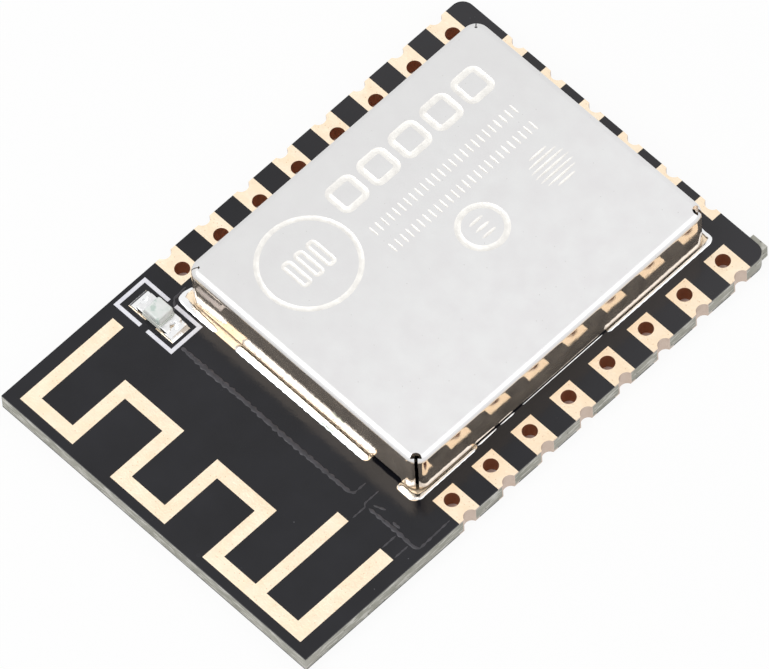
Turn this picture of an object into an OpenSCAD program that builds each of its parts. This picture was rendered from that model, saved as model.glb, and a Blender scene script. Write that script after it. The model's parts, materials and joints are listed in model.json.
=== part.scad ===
// Castellated wifi module: printed board, meander antenna, status LED and a
// folded shield can over the radio processor, program memory and crystal.
// Millimetres. Z up from the board's underside, Y towards the antenna end,
// X across the board. The origin lies under the middle of the whole outline.

/* [Board] */
// Thickness of the finished board
board_t = 0.8; // [0.6:0.1:1.6]
// Long edge from the middle of the nearest end pad
end_margin = 2.9; // [2.7:0.05:3.2]
// Far edge from the middle of the last side pad
pad_last = 1.4; // [1.3:0.05:1.7]
// Radius of the two corners at the far end
far_corner_r = 0.5; // [0.3:0.05:0.6]
// Width of the snap-off tab stub
tab_w = 0.72; // [0.4:0.02:1]
// How far the tab stub stands proud of the far edge
tab_out = 0.2; // [0.1:0.05:0.4]
// Middle of the tab stub from the long edge
tab_from_side = 0.55; // [0.5:0.05:0.9]

/* [Layers] */
// Thickness of the copper foil
copper_t = 0.035; // [0.02:0.005:0.07]
// Thickness of the solder mask over the copper
mask_t = 0.03; // [0.02:0.005:0.05]
// Thickness of the printed legend
legend_t = 0.02; // [0.01:0.005:0.04]

/* [Castellated pads] */
// Distance between neighbouring pads
pad_pitch = 2; // [1.8:0.05:2.2]
// Width of a pad
pad_w = 1.04; // [0.9:0.02:1.2]
// Length of a side pad in from the board edge
side_land_l = 1.38; // [1.3:0.02:1.5]
// Length of an end pad's upper land in from the board edge
end_land_l = 0.45; // [0.4:0.05:0.6]
// Length of an end pad's lower land in from the board edge
end_under_l = 1; // [0.6:0.05:1.2]
// Radius of the plated through hole in a side pad
via_r = 0.3; // [0.2:0.02:0.32]
// Middle of that hole in from the board edge
via_in = 0.9; // [0.84:0.02:0.96]
// Radius of the half hole at the board edge
edge_hole_r = 0.3; // [0.2:0.02:0.34]
// Middle of the half hole out from the board edge
edge_hole_out = 0.1; // [0.02:0.02:0.14]
// Thickness of the plating in the holes
plating_t = 0.05; // [0.03:0.005:0.06]

/* [Antenna] */
// Distance of the antenna's outer edge from the antenna end
ant_from_edge = 0.385; // [0.3:0.005:0.6]
// Distance of the antenna's first leg from its long edge
ant_from_side = 0.65; // [0.5:0.01:0.8]
// Distance of the antenna's last leg from the other long edge
ant_from_far_side = 0.58; // [0.4:0.01:0.8]
// Width of the shorting leg
short_leg_w = 0.68; // [0.5:0.02:0.9]
// Width of every other antenna trace
trace_w = 0.56; // [0.4:0.01:0.65]
// Gap between the two traces of a valley
valley_gap = 1.96; // [1.7:0.01:2.1]
// Gap between the two traces of the inner crest
crest_gap = 1.72; // [1.5:0.01:1.9]
// Height of the meander across its bars
meander_h = 3.23; // [2.6:0.01:3.6]
// Length of the legs, outer edge of the bar to the end
leg_l = 4.73; // [4.3:0.01:5.2]
// Width of the feed line under the mask
feed_w = 0.4; // [0.3:0.02:0.5]
// Clearance of the feed line from the ground copper
feed_gap = 0.2; // [0.14:0.02:0.26]
// Length of the taper between feed leg and feed line
feed_taper_l = 0.5; // [0.3:0.05:0.8]

/* [Shield can] */
// Gap between the can's long walls and the side pads
can_pad_gap = 0.52; // [0.46:0.02:0.6]
// Can's back wall from the far edge
can_from_far = 1.1; // [1:0.05:1.4]
// Can's front wall from the middle of the first side pad
can_from_pad = 0.75; // [0.75:0.05:1]
// Thickness of the can's sheet
sheet_t = 0.2; // [0.12:0.01:0.24]
// Outside radius of the bends
bend_r = 0.3; // [0.26:0.02:0.5]
// Height of the can's foot above the board, on its solder
can_lift = 0.1; // [0.06:0.01:0.16]
// Clearance between the tallest part and the roof
headroom = 0.2; // [0.1:0.05:0.6]
// Radius of the walls' corners, seen from above
can_corner_r = 0.6; // [0.54:0.02:0.64]
// Width of the open seams on the -X side
seam_gap = 0.13; // [0.08:0.01:0.16]
// Radius of the half-round reliefs on the -X side
relief_r = 0.21; // [0.18:0.01:0.24]
// Flat side of those reliefs in from the corner's face
relief_in = 0.12; // [0.1:0.01:0.16]
// Width of the tighter seams on the +X side
tight_gap = 0.04; // [0.03:0.01:0.08]
// Radius of the half-round reliefs on the +X side
tight_relief_r = 0.06; // [0.06:0.01:0.12]
// Flat side of those reliefs in from the corner's face
tight_relief_in = 0.27; // [0.24:0.01:0.28]
// Height of the arch over the feed line, in the front wall
arch_h = 0.17; // [0.1:0.01:0.3]
// Radius of the arch's upper corners
arch_r = 0.1; // [0.05:0.01:0.1]

/* [Shield lands and solder] */
// How far the front land shows outside the wall
front_land_out = 0.32; // [0.24:0.02:0.38]
// How far the other lands show outside the wall
side_land_out = 0.14; // [0.1:0.01:0.18]
// How far the lands reach in from the can's outside
shield_land_in = 0.34; // [0.28:0.02:0.4]
// Length of the lands along the two long walls, near the antenna
front_arm_l = 3; // [2:0.1:4]
// Length of the lands along the two long walls, at the far end
back_arm_l = 5.35; // [4:0.05:5.8]
// Length of the corner lands along the back wall
corner_arm_l = 0.95; // [0.7:0.05:1.4]
// Gap between the feed line and the corner land beside it
corner_land_gap = 0.29; // [0.27:0.01:0.5]
// Gap between the feed line and the start of the front land
front_land_gap = 0.81; // [0.4:0.01:1.2]
// Length of the land under the middle of the back wall
back_land_l = 7; // [4:0.2:8]
// Radius at the ends of the lands
land_r = 0.16; // [0.08:0.01:0.2]
// Radius of a corner land round the can's corner
corner_land_r = 0.3; // [0.2:0.02:0.4]
// Thickness of the solder skin on the lands
solder_t = 0.03; // [0.02:0.005:0.05]
// Setback of the solder ridge under the wall
solder_setback = 0.07; // [0.03:0.01:0.1]
// Rise of the solder up the outside of a wall
solder_rise = 0.1; // [0.04:0.01:0.16]
// Middle of the first bare spot from the start of the front land
bare_first = 4.45; // [3.6:0.05:5]
// Middle of the second bare spot from the start of the front land
bare_second = 7.3; // [6.6:0.05:8]
// Width of a bare spot
bare_w = 0.85; // [0.4:0.05:1.1]

/* [Ground copper] */
// Edge of the ground copper in front of the can
pour_front = 1.6; // [1.2:0.05:1.7]
// Edge of the ground copper from the long edge
pour_from_side = 0.3; // [0.2:0.02:0.4]
// Clearance of the ground copper from pads and lands
pour_gap = 0.2; // [0.12:0.01:0.26]
// Ground copper inside the lands of the can
pour_in = 0.02; // [0.02:0.01:0.1]
// Ground copper outside the side lands of the can
pour_out = 0.1; // [0.05:0.01:0.14]

/* [Status LED] */
// Length of the LED over its terminals
led_l = 1.6; // [1.4:0.02:2]
// Width of the LED
led_w = 0.8; // [0.6:0.02:1]
// Height of the LED above the board
led_h = 0.62; // [0.5:0.02:0.8]
// Thickness of the LED's base board
led_base_t = 0.24; // [0.18:0.02:0.3]
// Thickness of the terminal metal
led_metal_t = 0.03; // [0.02:0.005:0.04]
// Length of a terminal on the base
led_terminal_l = 0.34; // [0.26:0.02:0.38]
// Gap between a terminal's end and the lens
led_lens_gap = 0.19; // [0.08:0.01:0.3]
// Draft of the lens at each end
led_lens_draft = 0.06; // [0.02:0.01:0.1]
// Radius of the half-round notch in each end
led_notch_r = 0.16; // [0.1:0.01:0.2]
// How far an LED land shows beyond the terminal
led_toe = 0.36; // [0.26:0.02:0.46]
// How far an LED land is wider than the LED
led_land_extra = 0.1; // [0:0.02:0.2]
// Gap between the two LED lands
led_land_gap = 0.52; // [0.4:0.02:0.7]
// Height of the solder at the LED's ends
led_solder_h = 0.16; // [0.1:0.01:0.22]

/* [Legend] */
// Clearance between the LED's lands and the printed line
legend_clear = 0.2; // [0.1:0.01:0.3]
// Width of the printed line
legend_line = 0.155; // [0.12:0.005:0.2]
// Gap between the two brackets
legend_gap = 0.34; // [0.2:0.02:0.6]
// Legend middle from the LED's middle
legend_shift = 0.06; // [0:0.01:0.08]
// Legend from the long edge
legend_from_side = 0.185; // [0.1:0.005:0.3]
// Legend from the antenna's legs
legend_from_leg = 0.415; // [0.2:0.005:0.6]
// Legend from the can's front wall
legend_from_can = 0.46; // [0.42:0.02:0.7]

/* [Processor] */
// Side of the square package
mcu_side = 5; // [4.6:0.05:5.3]
// Height of the package
mcu_h = 0.85; // [0.7:0.05:1]
// Terminals on each side
mcu_count = 8; // [6:1:8]
// Distance between neighbouring terminals
mcu_pitch = 0.5; // [0.45:0.01:0.52]
// Width of a terminal
mcu_term_w = 0.25; // [0.2:0.01:0.28]
// Length of a terminal
mcu_term_l = 0.4; // [0.35:0.01:0.45]
// Thickness of the terminals
mcu_term_t = 0.2; // [0.15:0.01:0.25]
// Side of the thermal pad
mcu_pad = 3.2; // [2.8:0.1:3.6]
// Stand-off of the moulding
mcu_gap = 0.02; // [0.01:0.01:0.04]
// Length of a land outside the package
mcu_land_out = 0.3; // [0.2:0.02:0.36]

/* [Program memory] */
// Length of the moulding
flash_l = 5.23; // [5:0.02:5.5]
// Width of the moulding
flash_w = 5.28; // [5:0.02:5.6]
// Height above the board
flash_h = 1.75; // [1.5:0.05:2.1]
// Reach of a lead outside the moulding
flash_reach = 1.31; // [1.15:0.01:1.45]
// Stand-off of the moulding
flash_gap = 0.1; // [0.06:0.01:0.14]
// Distance between neighbouring leads
flash_pitch = 1.27; // [1:0.01:1.4]
// Leads on each side
flash_count = 4; // [2:1:4]
// Width of a lead
flash_lead_w = 0.42; // [0.35:0.01:0.5]
// Thickness of a lead
flash_lead_t = 0.2; // [0.15:0.01:0.25]
// Length of a lead's foot
flash_foot_l = 0.65; // [0.5:0.05:0.8]
// Draft of the moulding's sides
flash_draft = 0.12; // [0.05:0.01:0.2]
// Radius of the first lead's mark
flash_mark_r = 0.3; // [0.2:0.02:0.4]
// Depth of that mark
flash_mark_d = 0.06; // [0.03:0.01:0.1]
// How far a lead's land shows at either end of its foot
flash_toe = 0.225; // [0.1:0.025:0.3]
// Memory moulding from the can's back wall
flash_from_wall = 1; // [0.8:0.05:1.2]

/* [Crystal] */
// Length of the crystal package
crystal_l = 3.2; // [3:0.05:3.4]
// Width of the crystal package
crystal_w = 2.5; // [2.3:0.05:2.6]
// Height of the ceramic base
crystal_base_h = 0.5; // [0.4:0.05:0.6]
// Height of the metal lid
crystal_lid_h = 0.2; // [0.1:0.05:0.3]
// Rim of the base round the lid
crystal_rim = 0.15; // [0.1:0.01:0.2]
// Radius of the base's corner notches
crystal_notch_r = 0.18; // [0.12:0.01:0.22]
// Length of a crystal land
crystal_land_l = 1.1; // [0.9:0.05:1.2]
// Width of a crystal land
crystal_land_w = 0.9; // [0.7:0.05:1]
// Crystal from the can's right wall
crystal_from_wall = 0.85; // [0.6:0.05:1]
// Middle of the crystal beyond the processor's middle
crystal_shift = 0.9; // [0.7:0.05:1.1]

/* [Chip parts] */
// Length of a chip part
chip_l = 1; // [0.9:0.01:1.1]
// Width of a chip part
chip_w = 0.5; // [0.45:0.01:0.6]
// Height of a capacitor or inductor
chip_h = 0.5; // [0.4:0.02:0.6]
// Height of a resistor
resistor_h = 0.35; // [0.3:0.01:0.4]
// Length of an end cap
cap_l = 0.25; // [0.15:0.01:0.3]
// Thickness of the end cap metal
cap_t = 0.02; // [0.01:0.005:0.03]
// How far a chip part's land shows beyond its end
chip_toe = 0.2; // [0.14:0.02:0.24]
// How far a chip part's land is wider than the part
chip_land_extra = 0.06; // [0:0.02:0.1]
// Gap between the lands of neighbouring chip parts
chip_gap = 0.3; // [0.2:0.02:0.36]
// Chip parts in the row behind the can's front wall
row_count = 5; // [2:1:5]
// Middle of that row from the front wall
row_from_front = 0.85; // [0.75:0.05:1]
// Middle of its first part from the right wall
row_from_right = 1.3; // [1.2:0.05:1.5]
// Chip parts in the column along the left wall
column_count = 5; // [2:1:5]
// Middle of that column from the left wall
column_from_left = 1.1; // [0.9:0.05:1.3]
// Extra gap between the column and the matching inductors
column_gap = 0.2; // [0:0.05:0.3]
// Middle of the first matching inductor from the front wall
inductor_from_front = 1.5; // [1.2:0.05:1.8]
// Gap between the crystal and its two load capacitors
load_gap = 0.25; // [0.15:0.05:0.4]
// Middles of the load capacitors from the crystal's middle
load_out = 0.6; // [0.5:0.05:0.8]

/* [Quality] */
// Facets of a full circle
$fn = 64; // [32:8:96]

/* [Hidden] */
side_count = 8;
end_count = 6;
inductor_count = 2;
column_capacitors = 2;
skin_t = copper_t + mask_t;
top_z = board_t - skin_t;

led_land_l = led_l / 2 + led_toe - led_land_gap / 2;
led_land_w = led_w + led_land_extra;
legend_l = led_l + 2 * (led_toe + legend_clear + legend_line);
legend_w = led_land_w + 2 * (legend_clear + legend_line);

board_w = (end_count - 1) * pad_pitch + 2 * end_margin;
can_from_antenna = ant_from_edge + leg_l + legend_from_leg + legend_w + legend_from_can;
pad_row_l = (side_count - 1) * pad_pitch;
board_l = can_from_antenna + can_from_pad + pad_row_l + pad_last;
side_x = board_w / 2;
ant_y = (board_l + tab_out) / 2;
far_y = ant_y - board_l;

can_w = board_w - 2 * (side_land_l + can_pad_gap);
can_l = can_from_pad + pad_row_l + pad_last - can_from_far;
can_h = flash_h + headroom + sheet_t - can_lift;
can_x = can_w / 2;
can_front = ant_y - can_from_antenna;
can_back = can_front - can_l;
can_y = (can_front + can_back) / 2;
foot_z = board_t + can_lift;
roof_z = foot_z + can_h;
core_x = can_x - can_corner_r;
core_y = can_l / 2 - can_corner_r;

leg_gap = (board_w - ant_from_side - ant_from_far_side - short_leg_w - 6 * trace_w
  - 2 * valley_gap - crest_gap) / 3;
ant_top = ant_y - ant_from_edge;
ant_bottom = ant_top - meander_h;
leg_end = ant_top - leg_l;
ax0 = ant_from_side - side_x;
ax1 = ax0 + short_leg_w + leg_gap;
ax2 = ax1 + trace_w + leg_gap;
ax3 = ax2 + trace_w + valley_gap;
ax4 = ax3 + trace_w + crest_gap;
ax5 = ax4 + trace_w + valley_gap;
ax6 = ax5 + trace_w + leg_gap;
feed_x = ax1 + trace_w / 2;

front_land_x = feed_x + feed_w / 2 + front_land_gap;
feed_arm_l = feed_x - feed_w / 2 - corner_land_gap + can_x;
pour_y = can_front + pour_front;
pour_x0 = pour_from_side - side_x;
band_in = shield_land_in + pour_in;
band_out = side_land_out + pour_out;
wing_y0 = can_front - can_from_pad + pad_w / 2 + pour_gap;

legend_x = side_x - legend_from_side - legend_l / 2;
led_x = legend_x - legend_shift;
led_y = can_front + legend_from_can + legend_w / 2;
led_base_z = board_t + led_metal_t;

// Layout under the can, measured from its walls
chip_land_w = chip_w + chip_land_extra;
chip_pitch = chip_l + 2 * chip_toe + chip_gap;
row_y = can_front - row_from_front;
inductor_y0 = can_front - inductor_from_front;
column_x = column_from_left - can_x;
column_y0 = inductor_y0 - inductor_count * chip_pitch - column_gap;
column_edge = column_x + chip_land_w / 2;
crystal_x = can_x - crystal_from_wall - crystal_w / 2;
flash_y = can_back + flash_from_wall + flash_l / 2;
mcu_x = (column_edge + crystal_x - crystal_w / 2) / 2;
mcu_y = (row_y - chip_land_w / 2 + flash_y + flash_l / 2) / 2;
crystal_y = mcu_y + crystal_shift;
load_y = crystal_y - crystal_l / 2 - load_gap - chip_l / 2 - chip_toe;
flash_x = (column_edge + can_x - band_in) / 2;
flash_span = flash_w + 2 * flash_reach;
feed_end = inductor_y0 + chip_l / 2;
inductors = [for (i = [0 : inductor_count - 1]) [feed_x, inductor_y0 - i * chip_pitch, 90]];
capacitors = [
  for (i = [0 : row_count - 1]) [can_x - row_from_right - i * chip_pitch, row_y, 0],
  for (i = [0 : column_capacitors - 1]) [column_x, column_y0 - i * chip_pitch, 90],
  for (s = [-1, 1]) [crystal_x + s * load_out, load_y, 90]];
resistors = [for (i = [column_capacitors : column_count - 1])
  [column_x, column_y0 - i * chip_pitch, 90]];
eps = 1;

gold = [0.93, 0.8, 0.6];
tin = [0.82, 0.82, 0.84];
black = [0.1, 0.1, 0.12];

function side_y(i) = can_front - can_from_pad - i * pad_pitch;
function end_x(i) = (i - (end_count - 1) / 2) * pad_pitch;

// ---------- flat shapes ----------

// A rectangle from one corner to the other
module box2(x0, y0, x1, y1) {
  translate([x0, y0]) square([x1 - x0, y1 - y0]);
}

// The board without its tab stub
module outline2() {
  difference() {
    box2(-side_x, far_y, side_x, ant_y);
    for (s = [-1, 1])
      translate([s * (side_x - far_corner_r), far_y + far_corner_r])
        scale([s, 1]) difference() {
          box2(0, -far_corner_r - eps, far_corner_r + eps, 0);
          circle(r = far_corner_r);
        }
  }
}

// What the snapped tab leaves on the far edge
module tab2() {
  translate([tab_from_side - side_x - tab_w / 2, -ant_y])
    square([tab_w, tab_out + far_corner_r]);
}

// Puts a pad drawn at the +X edge in its place: 0-7 left, 8-13 end, 14-21 right
module at_pad(i) {
  if (i < side_count)
    translate([-side_x, side_y(i)]) rotate(180) children();
  else if (i < side_count + end_count)
    translate([end_x(i - side_count), far_y]) rotate(-90) children();
  else
    translate([side_x, side_y(2 * side_count + end_count - 1 - i)]) children();
}

module land2(l) {
  box2(-l, -pad_w / 2, 0, pad_w / 2);
}

// Round cuts of a pad: the half hole, and a side pad's through hole
module pad_holes2(i, grow) {
  translate([edge_hole_out, 0]) circle(r = edge_hole_r + grow);
  if (i < side_count || i >= side_count + end_count)
    translate([-via_in, 0]) circle(r = via_r + grow);
}

module all_pad_holes2() {
  for (i = [0 : 2 * side_count + end_count - 1]) at_pad(i) pad_holes2(i, plating_t);
}

module all_lands2(end_l) {
  for (i = [0 : 2 * side_count + end_count - 1])
    at_pad(i) land2(i < side_count || i >= side_count + end_count ? side_land_l : end_l);
}

// Inverted-F antenna with a meandered arm
module antenna2() {
  box2(ax0, leg_end, ax0 + short_leg_w, ant_top);
  box2(ax1, leg_end, ax1 + trace_w, ant_top);
  box2(ax0, ant_top - trace_w, ax2 + trace_w, ant_top);
  for (x = [ax2, ax3, ax4, ax5]) box2(x, ant_bottom, x + trace_w, ant_top);
  for (x = [ax2, ax4])
    box2(x, ant_bottom, x + 2 * trace_w + valley_gap, ant_bottom + trace_w);
  box2(ax3, ant_top - trace_w, ax4 + trace_w, ant_top);
  box2(ax5, ant_top - trace_w, ax6 + trace_w, ant_top);
  box2(ax6, leg_end, ax6 + trace_w, ant_top);
}

// Feed line from the antenna's second leg to the first matching part
module feed2() {
  polygon([[feed_x - trace_w / 2, leg_end], [feed_x + trace_w / 2, leg_end],
           [feed_x + feed_w / 2, leg_end - feed_taper_l], [feed_x + feed_w / 2, feed_end],
           [feed_x - feed_w / 2, feed_end], [feed_x - feed_w / 2, leg_end - feed_taper_l]]);
}

// Ground copper: a band under the can's walls, two wings towards the antenna
// and the shorting leg's tail
module pour2() {
  difference() {
    union() {
      box2(-can_x - band_out, can_back - band_out, can_x + band_out, can_front + band_out);
      box2(pour_x0, wing_y0, legend_x - legend_l / 2, pour_y);
      box2(ax0, pour_y - eps, ax0 + short_leg_w, leg_end);
    }
    box2(band_in - can_x, can_back + band_in, can_x - band_in, can_front - band_in);
    box2(feed_x - feed_w / 2 - feed_gap, can_front - band_in - eps,
         feed_x + feed_w / 2 + feed_gap, pour_y + eps);
    shield_lands2();
  }
}

module plane2() {
  box2(-can_x - band_out, far_y + end_under_l + pour_gap, can_x + band_out, pour_y);
}

// A rectangle with round corners
module round2(x0, y0, x1, y1, r) {
  union() {
    box2(x0 + r, y0, x1 - r, y1);
    box2(x0, y0 + r, x1, y1 - r);
    for (x = [x0 + r, x1 - r], y = [y0 + r, y1 - r]) translate([x, y]) circle(r = r);
  }
}

// Corner land under a long wall, turned round the corner to the short wall
module corner_land2(out_x, out_y, arm_x, arm_y) {
  wide = shield_land_in;
  r = corner_land_r;
  difference() {
    union() {
      round2(-wide, -arm_y, out_x, out_y, land_r);
      round2(-arm_x, -wide, out_x, out_y, land_r);
    }
    translate([out_x - r, out_y - r]) difference() {
      box2(0, 0, r + eps, r + eps);
      circle(r = r);
    }
  }
}

module shield_lands2() {
  translate([-can_x, can_front]) scale([-1, 1])
    corner_land2(side_land_out, front_land_out, feed_arm_l, front_arm_l);
  translate([can_x, can_front])
    corner_land2(side_land_out, front_land_out, can_x - front_land_x, front_arm_l);
  for (s = [-1, 1]) translate([s * can_x, can_back]) scale([s, -1])
    corner_land2(side_land_out, side_land_out, corner_arm_l, back_arm_l);
  round2(-back_land_l / 2, can_back - side_land_out, back_land_l / 2, can_back + shield_land_in,
         land_r);
}

module bare_spots2() {
  for (x = [bare_first, bare_second])
    translate([front_land_x + x - bare_w / 2, can_front - shield_land_in - eps])
      square([bare_w, shield_land_in + front_land_out + 2 * eps]);
}

module led_lands2() {
  for (s = [-1, 1])
    translate([led_x + s * (led_land_gap + led_land_l) / 2, led_y])
      square([led_land_l, led_land_w], center = true);
}

module chip_lands2() {
  for (s = [-1, 1]) scale([s, 1])
    box2(chip_l / 2 - cap_l, -chip_land_w / 2, chip_l / 2 + chip_toe, chip_land_w / 2);
}

module at_chips(list) {
  for (p = list) translate([p[0], p[1], 0]) rotate(p[2]) children();
}

module mcu_row2(l, out) {
  for (k = [0 : 3], i = [0 : mcu_count - 1])
    rotate(90 * k) translate([(i - (mcu_count - 1) / 2) * mcu_pitch,
      mcu_side / 2 - mcu_term_l]) translate([-mcu_term_w / 2, 0]) square([mcu_term_w, l + out]);
}

module at_mcu() { translate([mcu_x, mcu_y, 0]) children(); }
module at_flash() { translate([flash_x, flash_y, 0]) children(); }
module at_crystal() { translate([crystal_x, crystal_y, 0]) rotate(90) children(); }

module component_lands2() {
  at_chips(capacitors) chip_lands2();
  at_chips(resistors) chip_lands2();
  at_chips(inductors) chip_lands2();
  at_mcu() mcu_row2(mcu_term_l, mcu_land_out);
  at_mcu() square(mcu_pad, center = true);
  at_flash() for (s = [-1, 1], i = [0 : flash_count - 1])
    translate([s * (flash_span / 2 - flash_foot_l / 2),
      (i - (flash_count - 1) / 2) * flash_pitch])
      square([flash_foot_l + 2 * flash_toe, flash_lead_w], center = true);
  at_crystal() for (s = [-1, 1], t = [-1, 1])
    translate([s * (crystal_l - crystal_land_l) / 2, t * (crystal_w - crystal_land_w) / 2])
      square([crystal_land_l, crystal_land_w], center = true);
}

// ---------- board ----------

module substrate() color([0.62, 0.6, 0.5])
  translate([0, 0, skin_t]) linear_extrude(board_t - 2 * skin_t) difference() {
    union() { outline2(); tab2(); }
    all_pad_holes2();
  }

module solder_mask_top() color(black) difference() {
  translate([0, 0, top_z]) linear_extrude(skin_t) difference() {
    outline2();
    all_lands2(end_land_l);
    antenna2();
    shield_lands2();
    led_lands2();
    component_lands2();
  }
  translate([0, 0, top_z - eps]) linear_extrude(copper_t + eps) { pour2(); feed2(); }
}

module solder_mask_bottom() color(black) difference() {
  linear_extrude(skin_t) difference() {
    outline2();
    all_lands2(end_under_l);
  }
  translate([0, 0, mask_t]) linear_extrude(copper_t + eps) plane2();
}

module ground_pour_top() color([0.72, 0.45, 0.25])
  translate([0, 0, top_z]) linear_extrude(copper_t) pour2();

module ground_plane_bottom() color([0.72, 0.45, 0.25])
  translate([0, 0, mask_t]) linear_extrude(copper_t) plane2();

module antenna() color(gold)
  translate([0, 0, top_z]) linear_extrude(skin_t) antenna2();

module feed_line() color([0.72, 0.45, 0.25])
  translate([0, 0, top_z]) linear_extrude(copper_t) difference() {
    feed2();
    component_lands2();
  }

// One plated pad: upper land, lower land, half barrel and through barrel
module pad(i) color(gold) at_pad(i) {
  side = i < side_count || i >= side_count + end_count;
  translate([0, 0, top_z]) linear_extrude(skin_t) difference() {
    land2(side ? side_land_l : end_land_l);
    pad_holes2(i, 0);
  }
  linear_extrude(skin_t) difference() {
    land2(side ? side_land_l : end_under_l);
    pad_holes2(i, 0);
  }
  translate([0, 0, skin_t]) linear_extrude(board_t - 2 * skin_t) intersection() {
    land2(side_land_l);
    difference() {
      pad_holes2(i, plating_t);
      pad_holes2(i, 0);
    }
  }
}

module pad_01() pad(0);
module pad_02() pad(1);
module pad_03() pad(2);
module pad_04() pad(3);
module pad_05() pad(4);
module pad_06() pad(5);
module pad_07() pad(6);
module pad_08() pad(7);
module pad_09() pad(8);
module pad_10() pad(9);
module pad_11() pad(10);
module pad_12() pad(11);
module pad_13() pad(12);
module pad_14() pad(13);
module pad_15() pad(14);
module pad_16() pad(15);
module pad_17() pad(16);
module pad_18() pad(17);
module pad_19() pad(18);
module pad_20() pad(19);
module pad_21() pad(20);
module pad_22() pad(21);

// ---------- shield can ----------

// Section of a box with its two upper edges rounded
module bent2(half, bottom, top, r) {
  union() {
    box2(-half, bottom, half, top - r);
    box2(r - half, bottom, half - r, top);
    for (s = [-1, 1]) translate([s * (half - r), top - r]) circle(r = r);
  }
}

// Half of that section, from the axis of a corner outwards
module corner2(reach, bottom, top, r) {
  intersection() {
    bent2(reach, bottom, top, r);
    box2(0, bottom, reach, top);
  }
}

// Puts a shape at the axis of corner i, +X of it pointing along the wall before it
module at_corner(i) {
  s = i == 0 || i == 3 ? 1 : -1;
  t = i < 2 ? 1 : -1;
  translate([s * core_x, can_y + t * core_y, 0]) rotate(i * 90) children();
}

// Box with rounded upper edges and rounded corners, taken in on all sides
module bent_box(inset, bottom) {
  top = roof_z - inset;
  r = bend_r - inset;
  union() {
    translate([0, can_y + core_y, 0]) rotate([90, 0, 0])
      linear_extrude(2 * core_y) bent2(can_x - inset, bottom, top, r);
    translate([-core_x, can_y, 0]) rotate([90, 0, 90])
      linear_extrude(2 * core_x) bent2(can_l / 2 - inset, bottom, top, r);
    for (i = [0 : 3]) at_corner(i)
      rotate_extrude(angle = 90) corner2(can_corner_r - inset, bottom, top, r);
  }
}

// Open seam down a corner, and the half-round relief that it starts from
module seam(gap, relief, from_edge) rotate(45) {
  flat_x = can_corner_r - from_edge;
  translate([0, -gap / 2, foot_z - eps])
    cube([can_corner_r + eps, gap, can_h - bend_r + eps]);
  translate([flat_x - relief / 2, -gap / 2, roof_z - bend_r - sheet_t])
    cube([can_corner_r + eps, gap, bend_r + sheet_t + eps]);
  translate([flat_x, 0, roof_z - (bend_r + sheet_t) / 2])
    linear_extrude(bend_r + sheet_t) difference() {
      circle(r = relief);
      box2(0, -relief - eps, relief + eps, relief + eps);
    }
}

// One pressed sheet: a roof, four walls that curl towards each other at the
// corners and leave a seam open, and an arch over the feed line
module shield_can() color([0.78, 0.78, 0.8]) difference() {
  bent_box(0, foot_z);
  bent_box(sheet_t, foot_z - eps);
  for (i = [1, 2]) at_corner(i) seam(seam_gap, relief_r, relief_in);
  for (i = [0, 3]) at_corner(i) seam(tight_gap, tight_relief_r, tight_relief_in);
  translate([0, can_front + eps, 0]) rotate([90, 0, 0]) linear_extrude(sheet_t + 2 * eps)
    round2(feed_x - feed_w / 2 - corner_land_gap, foot_z - eps, front_land_x, foot_z + arch_h,
           arch_r);
}

module shield_lands() color(gold)
  translate([0, 0, top_z]) linear_extrude(skin_t) shield_lands2();

// Section of the solder that wets a wall: under its foot and up its outside
module wetted2(out) {
  polygon([[-solder_setback, 0], [out, 0], [out, solder_t], [0, can_lift + solder_rise],
           [0, can_lift], [-solder_setback, can_lift]]);
}

// The wetted walls: both long ones, the back one, the front one beside the feed,
// and the corners between them
module wetted_walls() {
  for (s = [-1, 1]) translate([s * can_x, can_y + core_y, 0]) scale([s, 1, 1])
    rotate([90, 0, 0]) linear_extrude(2 * core_y) wetted2(side_land_out);
  translate([-core_x, can_back, 0]) rotate([90, 0, 90])
    linear_extrude(2 * core_x) scale([-1, 1]) wetted2(side_land_out);
  translate([-core_x, can_front, 0]) rotate([90, 0, 90])
    linear_extrude(feed_arm_l) wetted2(front_land_out);
  for (i = [0 : 3]) at_corner(i) rotate_extrude(angle = i == 0 ? 45 : 90)
    translate([can_corner_r, 0]) wetted2(side_land_out);
}

// The foot's outline, taken in
module foot2(inset) {
  round2(inset - can_x, can_back + inset, can_x - inset, can_front - inset,
         can_corner_r - inset);
}

// Solder on the lands: a skin, a ridge under the can's foot, and a fillet up the
// walls that it wets
module shield_solder() color(tin) translate([0, 0, board_t]) {
  intersection() {
    linear_extrude(can_lift + solder_rise) shield_lands2();
    wetted_walls();
  }
  linear_extrude(solder_t) difference() { shield_lands2(); bare_spots2(); }
  linear_extrude(can_lift) difference() {
    intersection() {
      shield_lands2();
      foot2(solder_setback);
    }
    foot2(sheet_t);
    bare_spots2();
  }
}

// ---------- legend and LED ----------

module legend() color([0.9, 0.9, 0.95])
  translate([legend_x, led_y, board_t]) linear_extrude(legend_t) difference() {
    square([legend_l, legend_w], center = true);
    square([legend_l - 2 * legend_line, legend_w - 2 * legend_line], center = true);
    square([legend_gap, legend_w + eps], center = true);
  }

module led_lands() color(gold)
  translate([0, 0, top_z]) linear_extrude(skin_t) led_lands2();

// The LED's outline with its end notches, shrunk by the metal's thickness
module led_outline2(metal) {
  difference() {
    square([led_l - 2 * metal, led_w], center = true);
    for (s = [-1, 1]) translate([s * led_l / 2, 0]) circle(r = led_notch_r + metal);
  }
}

module led_base() color([0.9, 0.92, 0.86])
  translate([led_x, led_y, led_base_z]) linear_extrude(led_base_t) led_outline2(led_metal_t);

// Metal wrapped round each end of the base, notch included
module led_terminals() color(tin) difference() {
  translate([led_x, led_y, board_t]) linear_extrude(led_base_t + 2 * led_metal_t)
    difference() {
      led_outline2(0);
      square([led_l - 2 * led_terminal_l, led_w + eps], center = true);
    }
  led_base();
}

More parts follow.
